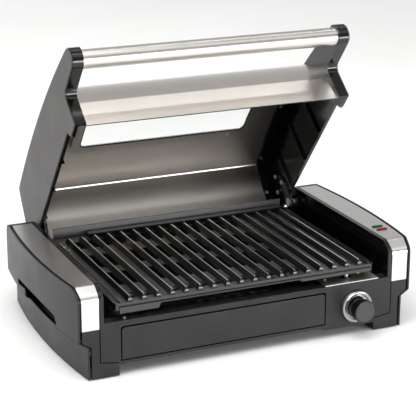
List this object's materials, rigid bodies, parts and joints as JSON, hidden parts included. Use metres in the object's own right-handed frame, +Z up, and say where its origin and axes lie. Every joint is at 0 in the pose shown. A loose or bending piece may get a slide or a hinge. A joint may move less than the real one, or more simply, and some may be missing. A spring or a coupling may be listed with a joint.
{
  "type": "indoor electric grill",
  "caption": "Indoor electric grill with a hinged lid with a window and a tube handle, a lift-out slotted ridged plate, a pull-out drip tray, a heat knob and signal lamps.",
  "frame": {"origin": "on the ground plane, midway between the feet left to right, at the front face of the front panel", "axes": "+X to the right of a person who stands before the grill, +Y towards its back, +Z up; the lid is open, as in the picture, at joint value 0"},
  "size_m": [0.42, 0.3325, 0.3346],
  "materials": {
    "dark_plastic": "fine satin grain",
    "grey_plastic": "fine matt grain",
    "black_plastic": "glossy",
    "brushed_steel": "brushed",
    "bare_steel": "mill finish",
    "chrome": "polished",
    "plate_coating": "black non-stick coating",
    "black_enamel": "satin black enamel",
    "rubber": "matt",
    "window_glass": "clear, polished",
    "green_lens": "glossy, tinted",
    "red_lens": "glossy, tinted",
    "ceramic": "unglazed",
    "element_metal": "dark oxidised tube"
  },
  "bodies": {
    "body": {"front_panel": "dark_plastic", "base_pan": "dark_plastic", "rear_housing": "dark_plastic", "rear_guard": "bare_steel", "liner": "black_enamel", "left_side_cover": "dark_plastic", "right_side_cover": "dark_plastic", "left_foot_skirt": "dark_plastic", "right_foot_skirt": "dark_plastic", "left_trim": "brushed_steel", "right_trim": "brushed_steel", "left_inner_wall": "black_plastic", "right_inner_wall": "black_plastic", "heating_element": "element_metal", "element_ends": "ceramic", "element_bars": "bare_steel", "thermostat": "black_plastic", "probe_bracket": "bare_steel", "bracket_rivets": "bare_steel", "probe_bush": "black_plastic", "probe_sleeve": "bare_steel", "knob_bezel": "chrome", "green_lens": "green_lens", "red_lens": "red_lens", "lamp_holder": "black_plastic", "cord_gland": "rubber", "terminal_block": "ceramic", "thermal_fuse": "bare_steel", "rubber_feet": "rubber", "hinge_pins": "bare_steel", "liner_screws": "bare_steel", "case_screws": "bare_steel"},
    "lid": {"left_lid_end": "black_plastic", "right_lid_end": "black_plastic", "left_lid_side_plate": "grey_plastic", "right_lid_side_plate": "grey_plastic", "lid_hood": "brushed_steel", "window_glass": "window_glass", "window_frame": "bare_steel", "window_seal": "rubber", "window_screws": "bare_steel", "handle_tube": "brushed_steel", "left_hinge_arm": "black_enamel", "right_hinge_arm": "black_enamel", "hinge_rivets": "bare_steel", "hood_screws": "bare_steel"},
    "grill_plate": {"grill_plate": "plate_coating"},
    "drip_tray": {"drip_tray": "dark_plastic", "tray_front": "dark_plastic"},
    "control_knob": {"control_knob": "black_plastic", "knob_cap": "dark_plastic", "knob_ring": "chrome", "thermostat_shaft": "bare_steel"},
    "heat_probe": {"heat_probe": "bare_steel"}
  },
  "joints": [
    {"name": "lid_hinge", "type": "hinge", "parent": "body", "child": "lid", "pos_m": [0, 0.2263, 0.0872], "axis": [1, 0, 0], "range_deg": [0, 51.4]},
    {"name": "plate_lift", "type": "slide", "parent": "body", "child": "grill_plate", "axis": [0, 0.7071, -0.7071], "range_m": [-0.06, 0]},
    {"name": "tray_pull", "type": "slide", "parent": "body", "child": "drip_tray", "axis": [0, -1, 0], "range_m": [0, 0.15]},
    {"name": "heat_dial", "type": "hinge", "parent": "body", "child": "control_knob", "pos_m": [0.1305, 0, 0.035], "axis": [0, 1, 0], "range_deg": [0, 270]},
    {"name": "probe_press", "type": "slide", "parent": "body", "child": "heat_probe", "axis": [0, 0, 1], "range_m": [-0.002, 0], "stiffness_N_per_m": 200, "springref_m": 0.002}
  ]
}
